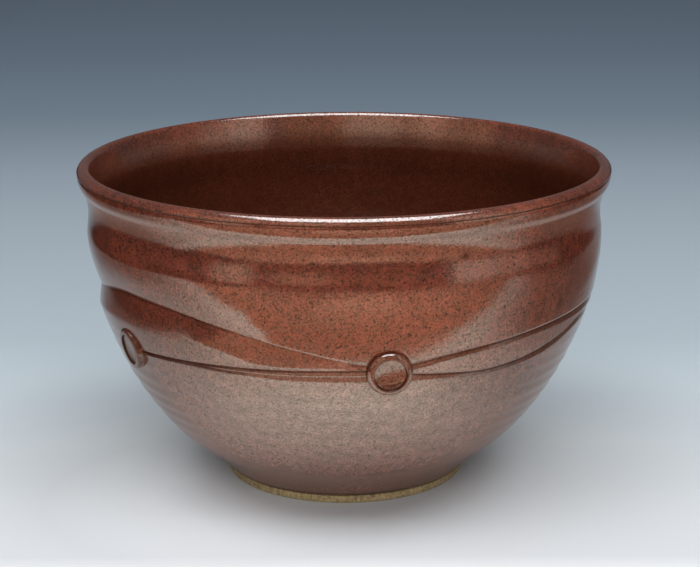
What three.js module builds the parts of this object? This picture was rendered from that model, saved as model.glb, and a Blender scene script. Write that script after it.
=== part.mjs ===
// A stoneware serving bowl with a dark iron glaze, in the pieces that a potter puts together:
// a thrown body, a rolled rim, a bare foot ring, four clay buttons pressed on the belly, and the
// ridges of clay that run from button to button like the folds of a cloth.
// Units are millimetres, +Z is up and the bowl stands on Z = 0. Angles go round the bowl in
// degrees, 0 at the front (-Y), growing to the right (+X).
import * as THREE from 'three';

// Driving sizes of the bowl
const RIM_RADIUS = 120;
const BOWL_HEIGHT = 145;
const WALL_THICKNESS = 5.5;
const FLOOR_THICKNESS = 8;
const CLEARANCE = 0.3;

// Foot ring, left bare of glaze
const FOOT_RADIUS = 54;
const FOOT_RING_WIDTH = 8;
const FOOT_RING_HEIGHT = 3.6;
const FOOT_TAPER = 0.6;
const FOOT_EDGE_ROUND = 0.8;
const FOOT_HOLLOW_HEIGHT = 7;

// Outline of the belly, from the glaze line over the foot up to the shoulder
const GLAZE_LIP = 0.6;
const FLARE_CORNER = { radius: 59.9, height: 10.7 };
const FLARE_END = { radius: 71.2, height: 18.7 };
const BELLY_REACH = 22.3;
const SHOULDER_RADIUS = 116;
const SHOULDER_DROP = 32;
const SHOULDER_EASE = 37.4;

// Neck and rolled rim; a drop is measured down from the top of the bowl
const NECK_RADIUS = 115.2;
const NECK_DROP = 21;
const RIM_JOINT_RADIUS = 117;
const RIM_JOINT_DROP = 11;
const RIM_BEAD_RADIUS = 3.85;
const LIP_INNER_RADIUS = 112.4;
const LIP_BEVEL = 1;

// Where the thrown wall was pressed in by hand, on the left
const PRESS_DEPTH = 2.6;
const PRESS_ANGLE = -80;
const PRESS_SPREAD_ANGLE = 55;
const PRESS_HEIGHT = 95.5;
const PRESS_SPREAD_HEIGHT = 13;

// Clay buttons: a round bead round a dished face. Each is turned up from the wall by a few
// degrees, which makes it thicker below; the thickness is that of its upper edge.
const BUTTON_RADIUS = 9.5;
const BUTTON_THICKNESS = 2.4;
const BUTTON_BEAD_RADIUS = 1.2;
const BUTTON_DISH_THICKNESS = 1.3;
const BUTTONS = {
  left: { angle: -56.6, height: 74, upturn: 2 },
  front: { angle: 9.6, height: 78.3, upturn: 10 },
  right: { angle: 103, height: 85, upturn: 6 },
  back: { angle: 201, height: 80, upturn: 6 },
};

// Section of a fold ridge: a slope that rises from above, a round crest and a steep underside
const FOLD_RISE = 1.5;
const FOLD_SLOPE_REACH = 2.6;
const FOLD_UNDERSIDE_REACH = 1.1;
const FOLD_STEP_DEGREES = 3.2;

// Each fold runs to the right from one button to the next. Its crest is a smooth curve through
// points of [share of the way, share of the drape height above the line of the button centres].
const DRAPE_HEIGHT = 21;
const FOLDS = [
  {
    name: 'fold_left_lower', from: 'left', to: 'front',
    crest: [[0, 0.01], [0.22, 0.07], [0.38, 0.07], [0.7, 0.06], [0.9, 0.04], [1, 0.015]],
  },
  {
    name: 'fold_left_upper', from: 'back', to: 'front', turns: -1,
    crest: [[0, 0.18], [0.15, 0.21], [0.31, 0.33], [0.44, 0.51], [0.5, 0.71], [0.58, 0.94], [0.63, 1],
      [0.68, 0.99], [0.74, 0.88], [0.84, 0.68], [0.92, 0.41], [1, 0.21]],
  },
  {
    name: 'fold_right_upper', from: 'front', to: 'right',
    crest: [[0, 0.105], [0.06, 0.16], [0.15, 0.23], [0.33, 0.29], [0.45, 0.32], [0.63, 0.27], [0.72, 0.28],
      [0.84, 0.23], [1, 0.16]],
  },
  {
    name: 'fold_right_lower', from: 'front', to: 'right',
    crest: [[0, -0.11], [0.06, -0.17], [0.15, -0.26], [0.24, -0.295], [0.33, -0.277], [0.45, -0.174],
      [0.57, -0.06], [0.69, 0.06], [0.84, 0.01], [1, -0.05]],
  },
  {
    name: 'fold_back_upper', from: 'right', to: 'back',
    crest: [[0, 0.2], [0.25, 0.38], [0.5, 0.45], [0.75, 0.36], [1, 0.18]],
  },
  {
    name: 'fold_back_lower', from: 'right', to: 'back',
    crest: [[0, -0.02], [0.25, -0.19], [0.5, -0.26], [0.75, -0.17], [1, -0.03]],
  },
];

// Fineness of the solids
const ROUND_SEGMENTS = 64;
const FLARE_STEPS = 3;
const BELLY_STEPS = 11;
const NECK_STEPS = 3;
const BUTTON_SEGMENTS = 20;
const BEAD_STEPS = 3;

// Heights that follow from the driving sizes
const BODY_BOTTOM = FOOT_RING_HEIGHT + CLEARANCE;
const BODY_TOP = BOWL_HEIGHT - RIM_JOINT_DROP;
const FLOOR_TOP = FOOT_HOLLOW_HEIGHT + FLOOR_THICKNESS;
const FOOT_HOLLOW_RADIUS = FOOT_RADIUS - FOOT_RING_WIDTH;

const glaze = new THREE.MeshStandardMaterial({ color: 0x6b3a2a, roughness: 0.12, metalness: 0 });
const darkGlaze = new THREE.MeshStandardMaterial({ color: 0x55291f, roughness: 0.12, metalness: 0 });
const bareClay = new THREE.MeshStandardMaterial({ color: 0x8a7450, roughness: 0.9, metalness: 0 });

const bowl = new THREE.Group();

function addPiece(name, geometry, material) {
  const piece = new THREE.Mesh(geometry, material);
  piece.name = name;
  bowl.add(piece);
  return piece;
}

// Turns an outline of (radius, height) points once round the upright axis.
function turned(outline, segments) {
  const geometry = new THREE.LatheGeometry(outline, segments);
  geometry.rotateX(Math.PI / 2);
  return geometry;
}

// Wall: outer outline as (radius, height), from the glaze line over the foot to the rim joint
function makeWallOutline() {
  const shoulderHeight = BOWL_HEIGHT - SHOULDER_DROP;
  const neckHeight = BOWL_HEIGHT - NECK_DROP;
  const toNeck = (neckHeight - shoulderHeight) / 2;
  const toJoint = (BODY_TOP - neckHeight) / 2;
  const flareCorner = new THREE.Vector2(FLARE_CORNER.radius, FLARE_CORNER.height);
  const flareEnd = new THREE.Vector2(FLARE_END.radius, FLARE_END.height);
  const bellyStart = flareEnd.clone().sub(flareCorner).setLength(BELLY_REACH).add(flareEnd);
  const footFlare = new THREE.QuadraticBezierCurve(
    new THREE.Vector2(FOOT_RADIUS + GLAZE_LIP, BODY_BOTTOM),
    flareCorner,
    flareEnd,
  );
  const belly = new THREE.CubicBezierCurve(
    flareEnd,
    bellyStart,
    new THREE.Vector2(SHOULDER_RADIUS, shoulderHeight - SHOULDER_EASE),
    new THREE.Vector2(SHOULDER_RADIUS, shoulderHeight),
  );
  const neck = new THREE.CubicBezierCurve(
    new THREE.Vector2(SHOULDER_RADIUS, shoulderHeight),
    new THREE.Vector2(SHOULDER_RADIUS, shoulderHeight + toNeck),
    new THREE.Vector2(NECK_RADIUS, neckHeight - toNeck),
    new THREE.Vector2(NECK_RADIUS, neckHeight),
  );
  const flare = new THREE.QuadraticBezierCurve(
    new THREE.Vector2(NECK_RADIUS, neckHeight),
    new THREE.Vector2(NECK_RADIUS, neckHeight + toJoint),
    new THREE.Vector2(RIM_JOINT_RADIUS, BODY_TOP),
  );
  return [
    ...footFlare.getPoints(FLARE_STEPS),
    ...belly.getPoints(BELLY_STEPS).slice(1),
    ...neck.getPoints(NECK_STEPS).slice(1),
    ...flare.getPoints(NECK_STEPS).slice(1),
  ];
}

const wallOutline = makeWallOutline();

// Moves each point of an open outline a distance towards the inside of the bowl, square to it.
function offsetInward(outline, distance) {
  return outline.map((point, i) => {
    const before = outline[Math.max(i - 1, 0)];
    const after = outline[Math.min(i + 1, outline.length - 1)];
    const along = new THREE.Vector2().subVectors(after, before).normalize();
    return new THREE.Vector2(point.x - along.y * distance, point.y + along.x * distance);
  });
}

function angleBetween(a, b) {
  return THREE.MathUtils.euclideanModulo(a - b + 180, 360) - 180;
}

function pressedIn(angle, height) {
  const round = angleBetween(angle, PRESS_ANGLE) / PRESS_SPREAD_ANGLE;
  const up = (height - PRESS_HEIGHT) / PRESS_SPREAD_HEIGHT;
  return PRESS_DEPTH * Math.exp(-round * round - up * up);
}

// Number of the first point past a place on an outline, which is never its very first point
function pointPast(points, axis, place) {
  const i = points.findIndex((point) => point[axis] > place);
  return i < 0 ? points.length - 1 : Math.max(i, 1);
}

// Outer radius of the pressed wall, straight between the points of its outline
function wallRadius(angle, height) {
  const i = pointPast(wallOutline, 'y', height);
  const [low, high] = [wallOutline[i - 1], wallOutline[i]];
  const lowRadius = low.x - pressedIn(angle, low.y);
  const highRadius = high.x - pressedIn(angle, high.y);
  return THREE.MathUtils.mapLinear(height, low.y, high.y, lowRadius, highRadius);
}

function pointAt(angle, radius, height) {
  const turn = THREE.MathUtils.degToRad(angle);
  return new THREE.Vector3(radius * Math.sin(turn), -radius * Math.cos(turn), height);
}

function onWall(angle, height) {
  return pointAt(angle, wallRadius(angle, height), height);
}

// Square to the wall, pointing out of the bowl, measured over a few millimetres
function wallNormal(angle, height) {
  const halfStep = 2;
  const along = onWall(angle + halfStep, height).sub(onWall(angle - halfStep, height));
  const up = onWall(angle, height + halfStep).sub(onWall(angle, height - halfStep));
  return along.cross(up).normalize();
}

// Thrown body: wall and floor in one, hollow on top, with a shallow hollow inside the foot
function makeBody() {
  const inner = offsetInward(wallOutline, WALL_THICKNESS).filter((point) => point.y > FLOOR_TOP);
  inner[inner.length - 1].y = BODY_TOP;
  const outline = [
    new THREE.Vector2(0, FOOT_HOLLOW_HEIGHT),
    new THREE.Vector2(FOOT_HOLLOW_RADIUS, FOOT_HOLLOW_HEIGHT),
    new THREE.Vector2(FOOT_HOLLOW_RADIUS, BODY_BOTTOM),
    ...wallOutline,
    ...inner.reverse(),
    new THREE.Vector2(0, FLOOR_TOP),
  ];
  const geometry = turned(outline, ROUND_SEGMENTS);
  const vertices = geometry.attributes.position;
  for (let i = 0; i < vertices.count; i += 1) {
    const x = vertices.getX(i);
    const y = vertices.getY(i);
    const height = vertices.getZ(i);
    const radius = Math.hypot(x, y);
    if (radius > FOOT_RADIUS) {
      const angle = THREE.MathUtils.radToDeg(Math.atan2(x, -y));
      const pressed = (radius - pressedIn(angle, height)) / radius;
      vertices.setXY(i, x * pressed, y * pressed);
    }
  }
  return geometry;
}

// Rolled rim: a fat bead outside, a lip that slopes inward, sitting on the top of the wall
function makeRim() {
  const bottom = BODY_TOP + CLEARANCE;
  const beadHeight = BOWL_HEIGHT - RIM_BEAD_RADIUS;
  const beadMiddle = RIM_RADIUS - RIM_BEAD_RADIUS;
  const wallInside = RIM_JOINT_RADIUS - WALL_THICKNESS;
  const lipHeight = BOWL_HEIGHT - LIP_BEVEL;
  const outline = new THREE.Path();
  outline.moveTo(wallInside, bottom);
  outline.lineTo(RIM_JOINT_RADIUS, bottom);
  outline.quadraticCurveTo(RIM_RADIUS, (bottom + beadHeight) / 2, RIM_RADIUS, beadHeight);
  outline.absarc(beadMiddle, beadHeight, RIM_BEAD_RADIUS, 0, Math.PI / 2);
  outline.lineTo(LIP_INNER_RADIUS, lipHeight);
  outline.quadraticCurveTo(wallInside, lipHeight - LIP_BEVEL, wallInside, bottom);
  return turned(outline.getPoints(NECK_STEPS), ROUND_SEGMENTS);
}

// Foot ring: bare clay with a little taper and softened edges, flat underneath
function makeFootRing() {
  const outline = new THREE.Path();
  outline.moveTo(FOOT_HOLLOW_RADIUS + FOOT_EDGE_ROUND, 0);
  outline.lineTo(FOOT_RADIUS - FOOT_EDGE_ROUND, 0);
  outline.lineTo(FOOT_RADIUS, FOOT_EDGE_ROUND);
  outline.lineTo(FOOT_RADIUS - FOOT_TAPER, FOOT_RING_HEIGHT);
  outline.lineTo(FOOT_HOLLOW_RADIUS, FOOT_RING_HEIGHT);
  outline.lineTo(FOOT_HOLLOW_RADIUS, FOOT_EDGE_ROUND);
  outline.closePath();
  return turned(outline.getPoints(), ROUND_SEGMENTS);
}

// Lowers a point straight in towards the wall until it stands the clearance off it.
function dropToWall(point, inward) {
  for (let pass = 0; pass < 8; pass += 1) {
    const angle = THREE.MathUtils.radToDeg(Math.atan2(point.x, -point.y));
    const above = Math.hypot(point.x, point.y) - wallRadius(angle, point.z) - CLEARANCE;
    point.addScaledVector(inward, above);
  }
  return point;
}

// Clay button, turned flat and then pressed on, so that its back follows the round wall
function addButton(name, button) {
  const beadMiddle = BUTTON_RADIUS - BUTTON_BEAD_RADIUS;
  const beadHeight = BUTTON_THICKNESS - BUTTON_BEAD_RADIUS;
  const outline = new THREE.Path();
  outline.moveTo(0, 0);
  outline.lineTo(BUTTON_RADIUS / 2, 0);
  outline.lineTo(BUTTON_RADIUS, 0);
  outline.lineTo(BUTTON_RADIUS, beadHeight);
  outline.absarc(beadMiddle, beadHeight, BUTTON_BEAD_RADIUS, 0, Math.PI);
  outline.quadraticCurveTo(beadMiddle - BUTTON_BEAD_RADIUS, BUTTON_DISH_THICKNESS, 0, BUTTON_DISH_THICKNESS);
  const geometry = turned(outline.getPoints(BEAD_STEPS), BUTTON_SEGMENTS);

  const seat = onWall(button.angle, button.height);
  const upturn = THREE.MathUtils.degToRad(button.upturn);
  const levelAxis = pointAt(button.angle + 90, 1, 0);
  const outward = wallNormal(button.angle, button.height).applyAxisAngle(levelAxis, -upturn);
  const inward = outward.clone().negate();
  const lift = CLEARANCE + BUTTON_RADIUS * Math.sin(upturn);
  const piece = addPiece(name, geometry, darkGlaze);
  piece.position.copy(seat).addScaledVector(outward, lift);
  piece.quaternion.setFromUnitVectors(new THREE.Vector3(0, 0, 1), outward);
  piece.updateMatrix();
  const back = piece.matrix.clone().invert();
  const vertices = geometry.attributes.position;
  for (let i = 0; i < vertices.count; i += 1) {
    const vertex = new THREE.Vector3().fromBufferAttribute(vertices, i);
    if (Math.abs(vertex.z) < 1e-6) {
      const seated = dropToWall(vertex.applyMatrix4(piece.matrix), inward).applyMatrix4(back);
      vertices.setXYZ(i, seated.x, seated.y, seated.z);
    }
  }
}

// Angle from the middle of a button to a fold that ends beside it
function buttonHalfAngle({ angle, height }) {
  return THREE.MathUtils.radToDeg((BUTTON_RADIUS + CLEARANCE) / wallRadius(angle, height));
}

// Height at a share of the way, read off a crest curve
function riseAt(crestPoints, share) {
  const i = pointPast(crestPoints, 'x', share);
  const [low, high] = [crestPoints[i - 1], crestPoints[i]];
  return THREE.MathUtils.mapLinear(share, low.x, high.x, low.y, high.y);
}

// Fold ridge: its section is extruded straight, then laid along the wall on its crest curve
function addFold({ name, from, to, turns = 0, crest }) {
  const start = BUTTONS[from];
  const end = BUTTONS[to];
  const firstAngle = start.angle + turns * 360 + buttonHalfAngle(start);
  const lastAngle = end.angle - buttonHalfAngle(end);
  const steps = Math.ceil((lastAngle - firstAngle) / FOLD_STEP_DEGREES);
  const section = new THREE.Shape([
    new THREE.Vector2(-FOLD_UNDERSIDE_REACH, 0),
    new THREE.Vector2(FOLD_SLOPE_REACH, 0),
    new THREE.Vector2(FOLD_SLOPE_REACH / 2, FOLD_RISE * 0.7),
    new THREE.Vector2(0, FOLD_RISE),
    new THREE.Vector2(-FOLD_UNDERSIDE_REACH * 0.8, FOLD_RISE * 0.7),
  ]);
  const geometry = new THREE.ExtrudeGeometry(section, { depth: 1, steps, bevelEnabled: false });
  const crestCurve = new THREE.SplineCurve(
    crest.map(([share, rise]) => new THREE.Vector2(share, rise * DRAPE_HEIGHT)),
  );
  const crestPoints = crestCurve.getPoints(crest.length * 8);
  const vertices = geometry.attributes.position;
  for (let i = 0; i < vertices.count; i += 1) {
    const upWall = vertices.getX(i);
    const offWall = vertices.getY(i);
    const share = vertices.getZ(i);
    const angle = THREE.MathUtils.lerp(firstAngle, lastAngle, share);
    const crestHeight = THREE.MathUtils.lerp(start.height, end.height, share) + riseAt(crestPoints, share);
    const height = crestHeight + upWall;
    const point = onWall(angle, height).addScaledVector(wallNormal(angle, height), CLEARANCE + offWall);
    vertices.setXYZ(i, point.x, point.y, point.z);
  }
  addPiece(name, geometry, glaze);
}

addPiece('bowl_body', makeBody(), glaze);
addPiece('rolled_rim', makeRim(), glaze);
addPiece('foot_ring', makeFootRing(), bareClay);
for (const [place, button] of Object.entries(BUTTONS)) {
  addButton(`clay_button_${place}`, button);
}
FOLDS.forEach(addFold);

export default bowl;
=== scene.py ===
# %% [markdown]
# # A tenmoku stoneware bowl
# The bowl was thrown on a wheel, its rim rolled over, its foot turned and left bare. Four
# stamped clay buttons are pressed on the belly, and two folds run round it from button to button
# as cloth does between pins. All of it but the foot is under one dark iron glaze.
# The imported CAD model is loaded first. It gives every size and place, and the pieces made
# below take its place one by one.

from math import cos, pi, radians, sin

import bpy
import numpy as np
from mathutils import Matrix, Vector, noise


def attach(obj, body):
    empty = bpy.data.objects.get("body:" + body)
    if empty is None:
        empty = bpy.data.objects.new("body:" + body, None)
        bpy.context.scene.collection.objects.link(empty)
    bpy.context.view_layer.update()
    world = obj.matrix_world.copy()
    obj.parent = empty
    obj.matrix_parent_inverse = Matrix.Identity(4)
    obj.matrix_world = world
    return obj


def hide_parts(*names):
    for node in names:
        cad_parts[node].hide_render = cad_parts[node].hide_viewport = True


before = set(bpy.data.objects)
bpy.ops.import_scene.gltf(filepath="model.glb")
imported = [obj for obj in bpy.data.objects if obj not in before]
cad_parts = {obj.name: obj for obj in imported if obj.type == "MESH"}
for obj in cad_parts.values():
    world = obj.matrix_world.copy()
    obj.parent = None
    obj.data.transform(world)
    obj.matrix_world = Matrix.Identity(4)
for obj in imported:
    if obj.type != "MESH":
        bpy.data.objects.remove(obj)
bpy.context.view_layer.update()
bpy.ops.object.select_all(action="DESELECT")
MM = 0.001

# %% [markdown]
# ## The camera
# A portrait lens from about 0.9 m away, a little above the rim, so that the mouth shows as a
# slim oval. The photo's frame leans by a quarter of a degree, and the camera is rolled to match.

# %% Camera
CAMERA_PLACE = (0.00245, -0.8991, 0.3295)
CAMERA_TILT = 74.876
CAMERA_LEAN = -0.248
camera_data = bpy.data.cameras.new("portrait lens")
camera_data.sensor_width = 36.0
camera_data.lens = 104.55
camera_data.clip_end = 50.0
camera = bpy.data.objects.new("camera", camera_data)
bpy.context.collection.objects.link(camera)
look_down = Matrix.Rotation(radians(CAMERA_TILT), 4, "X")
lean = Matrix.Rotation(radians(CAMERA_LEAN), 4, "Z")
camera.matrix_world = Matrix.Translation(CAMERA_PLACE) @ look_down @ lean
bpy.context.scene.camera = camera
print("camera at", [round(v, 4) for v in camera.matrix_world.translation])

# %% [markdown]
# ## Helpers for finishes
# A finish is built from noise, turned into colours by a ramp, and laid over another by a mix.
# The nodes could be placed and joined one by one, but the same few steps come back in every
# finish. Each helper makes one such node and joins it up, so that a material below reads as a
# recipe.

# %% Noise, ramp and mix


def add_noise(tree, coordinates, scale, detail, roughness=0.5):
    """Cloudy grey noise, finer as the scale grows."""
    texture = tree.nodes.new("ShaderNodeTexNoise")
    texture.inputs["Scale"].default_value = scale
    texture.inputs["Detail"].default_value = detail
    texture.inputs["Roughness"].default_value = roughness
    tree.links.new(coordinates, texture.inputs["Vector"])
    return texture.outputs["Fac"]


def add_ramp(tree, source, stops):
    """Turns a value into a colour through stops of (place, colour)."""
    ramp = tree.nodes.new("ShaderNodeValToRGB")
    while len(ramp.color_ramp.elements) < len(stops):
        ramp.color_ramp.elements.new(0.5)
    for element, (place, colour) in zip(ramp.color_ramp.elements, stops):
        element.position = place
        element.color = (*colour, 1.0)
    tree.links.new(source, ramp.inputs["Fac"])
    return ramp.outputs["Color"]


def add_mix(tree, factor, under, over, blend="MIX"):
    """Lays one colour over another by a factor socket or number."""
    mix = tree.nodes.new("ShaderNodeMix")
    mix.data_type = "RGBA"
    mix.blend_type = blend
    if isinstance(factor, float):
        mix.inputs["Factor"].default_value = factor
    else:
        tree.links.new(factor, mix.inputs["Factor"])
    for socket, colour in ((mix.inputs[6], under), (mix.inputs[7], over)):
        if isinstance(colour, tuple):
            socket.default_value = (*colour, 1.0)
        else:
            tree.links.new(colour, socket)
    return mix.outputs[2]


print("helpers for colour ready")

# %% [markdown]
# ## Helpers for where a finish lies
# Some of a finish follows the place on the piece: thin glaze and a painted reflection low in
# front, painted shade to the sides. The place is read in the object's own metres, which stay
# with the piece however it is turned, and a range turns such a length into a strength from 0 to 1.

# %% Place, range and arithmetic


def add_range(tree, source, low, high, out_low, out_high):
    """Maps a value from one range to another and keeps it inside."""
    span = tree.nodes.new("ShaderNodeMapRange")
    for name, value in (("From Min", low), ("From Max", high), ("To Min", out_low), ("To Max", out_high)):
        span.inputs[name].default_value = value
    tree.links.new(source, span.inputs["Value"])
    return span.outputs["Result"]


def add_math(tree, operation, *values):
    """One step of arithmetic on sockets or numbers."""
    step = tree.nodes.new("ShaderNodeMath")
    step.operation = operation
    for socket, value in zip(step.inputs, values):
        if isinstance(value, float):
            socket.default_value = value
        else:
            tree.links.new(value, socket)
    return step.outputs["Value"]


def add_place(tree):
    """The point being coloured, whole and as its X, Y and Z, in the object's own metres."""
    place = tree.nodes.new("ShaderNodeTexCoord").outputs["Object"]
    split = tree.nodes.new("ShaderNodeSeparateXYZ")
    tree.links.new(place, split.inputs["Vector"])
    return place, split.outputs["X"], split.outputs["Y"], split.outputs["Z"]


print("helpers for place ready")

# %% [markdown]
# ## Paper sweep
# A sheet of pale paper lies under the bowl. Its tone falls from near white in front to a blue
# grey far behind, as such a sweep looks where less light reaches it. A curved sheet under a
# fading lamp could do it too, but a wide flat one whose colour follows its distance has no bend
# that could show.

# %% Paper under the bowl
bpy.ops.mesh.primitive_circle_add(vertices=96, radius=7.0, fill_type="NGON", location=(0, 0, 0))
paper = bpy.context.object
paper.name = "paper_floor"

PAPER_TONES = [
    (-0.20, (0.96, 0.98, 0.99)),
    (-0.14, (0.90, 0.93, 0.95)),
    (-0.115, (0.70, 0.73, 0.76)),
    (-0.05, (0.73, 0.77, 0.80)),
    (0.03, (0.70, 0.755, 0.79)),
    (0.10, (0.57, 0.64, 0.69)),
    (0.20, (0.44, 0.515, 0.565)),
    (0.50, (0.363, 0.43, 0.485)),
    (0.65, (0.316, 0.377, 0.437)),
    (0.90, (0.21, 0.273, 0.335)),
    (1.25, (0.18, 0.233, 0.30)),
]
PAPER_FRONT, PAPER_BACK = -0.20, 1.80
paper_look = bpy.data.materials.new("paper sweep")
paper_look.use_nodes = True
paper_tree = paper_look.node_tree
paper_shader = paper_tree.nodes["Principled BSDF"]
paper_shader.inputs["Roughness"].default_value = 0.9
paper_shader.inputs["Specular IOR Level"].default_value = 0.1
paper_place, _, paper_y, _ = add_place(paper_tree)
stops = [((y - PAPER_FRONT) / (PAPER_BACK - PAPER_FRONT), colour) for y, colour in PAPER_TONES]
paper_tone = add_ramp(paper_tree, add_range(paper_tree, paper_y, PAPER_FRONT, PAPER_BACK, 0.0, 1.0), stops)
paper.data.materials.append(paper_look)
print("paper tones:", len(PAPER_TONES), "over", round(PAPER_TONES[-1][0] - PAPER_TONES[0][0], 2), "m")

# %% [markdown]
# ## Light thrown on the paper
# Left of the foot the glossy bowl throws light down on the paper, and the paper is a little paler
# there. A render could find this by caustics, slowly and with much noise. Lifting the paper's
# colour round that place looks the same.

# %% Light thrown on the paper
GLOW_PLACE = (-0.055, -0.045, 0.0)
GLOW_NEAR, GLOW_FAR = 0.03, 0.08
GLOW_LIFT = 1.22
from_glow = paper_tree.nodes.new("ShaderNodeVectorMath")
from_glow.operation = "DISTANCE"
paper_tree.links.new(paper_place, from_glow.inputs[0])
from_glow.inputs[1].default_value = GLOW_PLACE
lifted = paper_tree.nodes.new("ShaderNodeVectorMath")
lifted.operation = "SCALE"
paper_tree.links.new(paper_tone, lifted.inputs[0])
glow_lift = add_range(paper_tree, from_glow.outputs["Value"], GLOW_NEAR, GLOW_FAR, GLOW_LIFT, 1.0)
paper_tree.links.new(glow_lift, lifted.inputs["Scale"])
paper_tree.links.new(lifted.outputs["Vector"], paper_shader.inputs["Base Color"])
print("the paper is", GLOW_LIFT, "times as bright within", GLOW_NEAR, "m of", GLOW_PLACE)

# %% [markdown]
# ## What the glaze sees
# A glossy glaze shows whatever stands round it, so the surroundings are as much a part of its
# look as its own colour. The whole room could be modelled, but flat cards are enough. Each
# glows with one colour, and only reflections see it. One helper lays a card flat or stands it
# up to face the bowl, and a second stands one up between two bearings.

# %% Flat and upright cards


def add_card(name, place, width, depth, colour, upright=False):
    """A flat card that the camera doesn't see and the glaze reflects, facing the bowl if upright."""
    bpy.ops.mesh.primitive_plane_add(size=1.0, location=(0, 0, 0))
    card = bpy.context.object
    card.name = name
    shape = Matrix.Diagonal((width, depth, 1.0, 1.0))
    if upright:
        towards_bowl = Vector((place[0], place[1], 0.0))
        shape = towards_bowl.to_track_quat("Z", "Y").to_matrix().to_4x4() @ shape
    card.data.transform(Matrix.Translation(place) @ shape)
    look = bpy.data.materials.new(name)
    look.use_nodes = True
    look.node_tree.nodes.clear()
    glow = look.node_tree.nodes.new("ShaderNodeEmission")
    glow.inputs["Color"].default_value = (*colour, 1.0)
    output = look.node_tree.nodes.new("ShaderNodeOutputMaterial")
    look.node_tree.links.new(glow.outputs["Emission"], output.inputs["Surface"])
    card.data.materials.append(look)
    card.visible_camera = False
    card.visible_shadow = False
    card.visible_diffuse = False
    return card


def add_screen(name, left, right, low, high, distance, colour):
    """An upright card between two bearings in degrees, 0 being straight in front of the bowl."""
    middle = radians((left + right) / 2)
    width = 2 * distance * sin(radians((right - left) / 2)) / cos(radians((right - left) / 2))
    place = (distance * sin(middle), -distance * cos(middle), (low + high) / 2)
    return add_card(name, place, width, high - low, colour, upright=True)


print("card helpers ready")

# %% [markdown]
# ## Table, floor and softbox
# The pale zones on the belly are the paper. The red zones above are the brown table in front of
# it, brighter in the middle where a lamp glares on it, and a dark floor lies beyond and to the
# sides. A softbox overhead gives the white line on the rim and the gleam on the buttons. The
# cards lie a fraction of a millimetre over each other, so that none hides in another.

# %% Table, floor and softbox
TABLE_START = -0.18
TABLE_SPLIT = -0.27
TABLE_END = -0.52
TABLE_SIDES = (-0.33, 0.36)
PAPER_LEFT = -0.40
PAPER_RIGHT = 0.50
FLOOR_MIDDLE = 1.5
FLOOR_WIDTH = 3.0
NEAR_BROWN = (0.54, 0.27, 0.19)
FAR_BROWN = (0.60, 0.33, 0.25)
BRIGHT_BROWN = (0.92, 0.53, 0.41)
SIDE_BROWN = (0.36, 0.20, 0.15)
DARK = (0.01, 0.008, 0.008)
SOFTBOX_WHITE = (3.8, 4.5, 5.6)
TABLE_LAYER, GLARE_LAYER, FAR_LAYER = 0.0006, 0.0009, 0.0012
table_middle = sum(TABLE_SIDES) / 2
table_width = TABLE_SIDES[1] - TABLE_SIDES[0]
near_middle, far_middle = (TABLE_START + TABLE_SPLIT) / 2, (TABLE_SPLIT + TABLE_END) / 2
near_depth, far_depth = TABLE_START - TABLE_SPLIT, TABLE_SPLIT - TABLE_END
side_middle, side_depth = (TABLE_START + TABLE_END) / 2, TABLE_START - TABLE_END
floor_depth = 2 * (FLOOR_MIDDLE - TABLE_START)
floor_left, floor_right = PAPER_LEFT - FLOOR_WIDTH / 2, PAPER_RIGHT + FLOOR_WIDTH / 2
add_card("table_near", (table_middle, near_middle, TABLE_LAYER), table_width, near_depth, NEAR_BROWN)
add_card("table_far", (table_middle, far_middle, TABLE_LAYER), table_width, far_depth, FAR_BROWN)
add_card("table_side", (TABLE_SIDES[1] + 0.25, side_middle, TABLE_LAYER), 0.5, side_depth, SIDE_BROWN)
add_card("room_floor_front", (0, TABLE_END - 1.5, TABLE_LAYER), 6.0, 3.0, DARK)
add_card("room_floor_far_left", (TABLE_SIDES[0] - 1.6, side_middle, FAR_LAYER), 3.2, side_depth, DARK)
add_card("room_floor_far_right", (2.3, side_middle, FAR_LAYER), FLOOR_WIDTH, side_depth, DARK)
add_card("table_glare", (0.03, -0.42, GLARE_LAYER), 0.20, 0.20, BRIGHT_BROWN)
add_card("room_floor_left", (floor_left, FLOOR_MIDDLE, GLARE_LAYER), FLOOR_WIDTH, floor_depth, DARK)
add_card("room_floor_right", (floor_right, FLOOR_MIDDLE, GLARE_LAYER), FLOOR_WIDTH, floor_depth, DARK)
add_card("softbox_face", (0.02, -0.10, 0.80), 0.62, 0.55, SOFTBOX_WHITE)

# %% [markdown]
# ## Shade at the sides of the paper
# Towards its sides the real paper falls into shade. A card laid just over the sheet shows that
# to the glaze: it is clear in the middle and grows brown outwards, through a mix of a
# transparent and a glowing shader. The sheet could be darkened itself, but the camera doesn't
# see a card, so the floor stays plain and pale from every side.

# %% Shade at the sides of the paper
VIEW_SPREAD = 0.165
RIGHT_START, LEFT_START = 0.17, 0.18
SHADE_FRONT = -0.20
FAR_START, FAR_END = 0.20, 0.50
FAR_SHARE = 0.25
SHADE_BROWN = (0.17, 0.12, 0.10)
side_shade = add_card("paper_side_shade", (0.05, 0.80, 0.0003), 1.1, 2.0, SHADE_BROWN)
shade_tree = side_shade.data.materials[0].node_tree
_, shade_x, shade_y, _ = add_place(shade_tree)
widening = add_math(shade_tree, "MULTIPLY", shade_y, -VIEW_SPREAD)


def shade_one_side(off_middle, start, width, strength, full_depth):
    """Shade that grows outwards over a width, and backwards from the paper's front to a depth."""
    outwards = add_range(shade_tree, off_middle, start, start + width, 0.0, strength)
    backwards = add_range(shade_tree, shade_y, SHADE_FRONT, full_depth, 0.0, 1.0)
    return add_math(shade_tree, "MULTIPLY", outwards, backwards)


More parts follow.
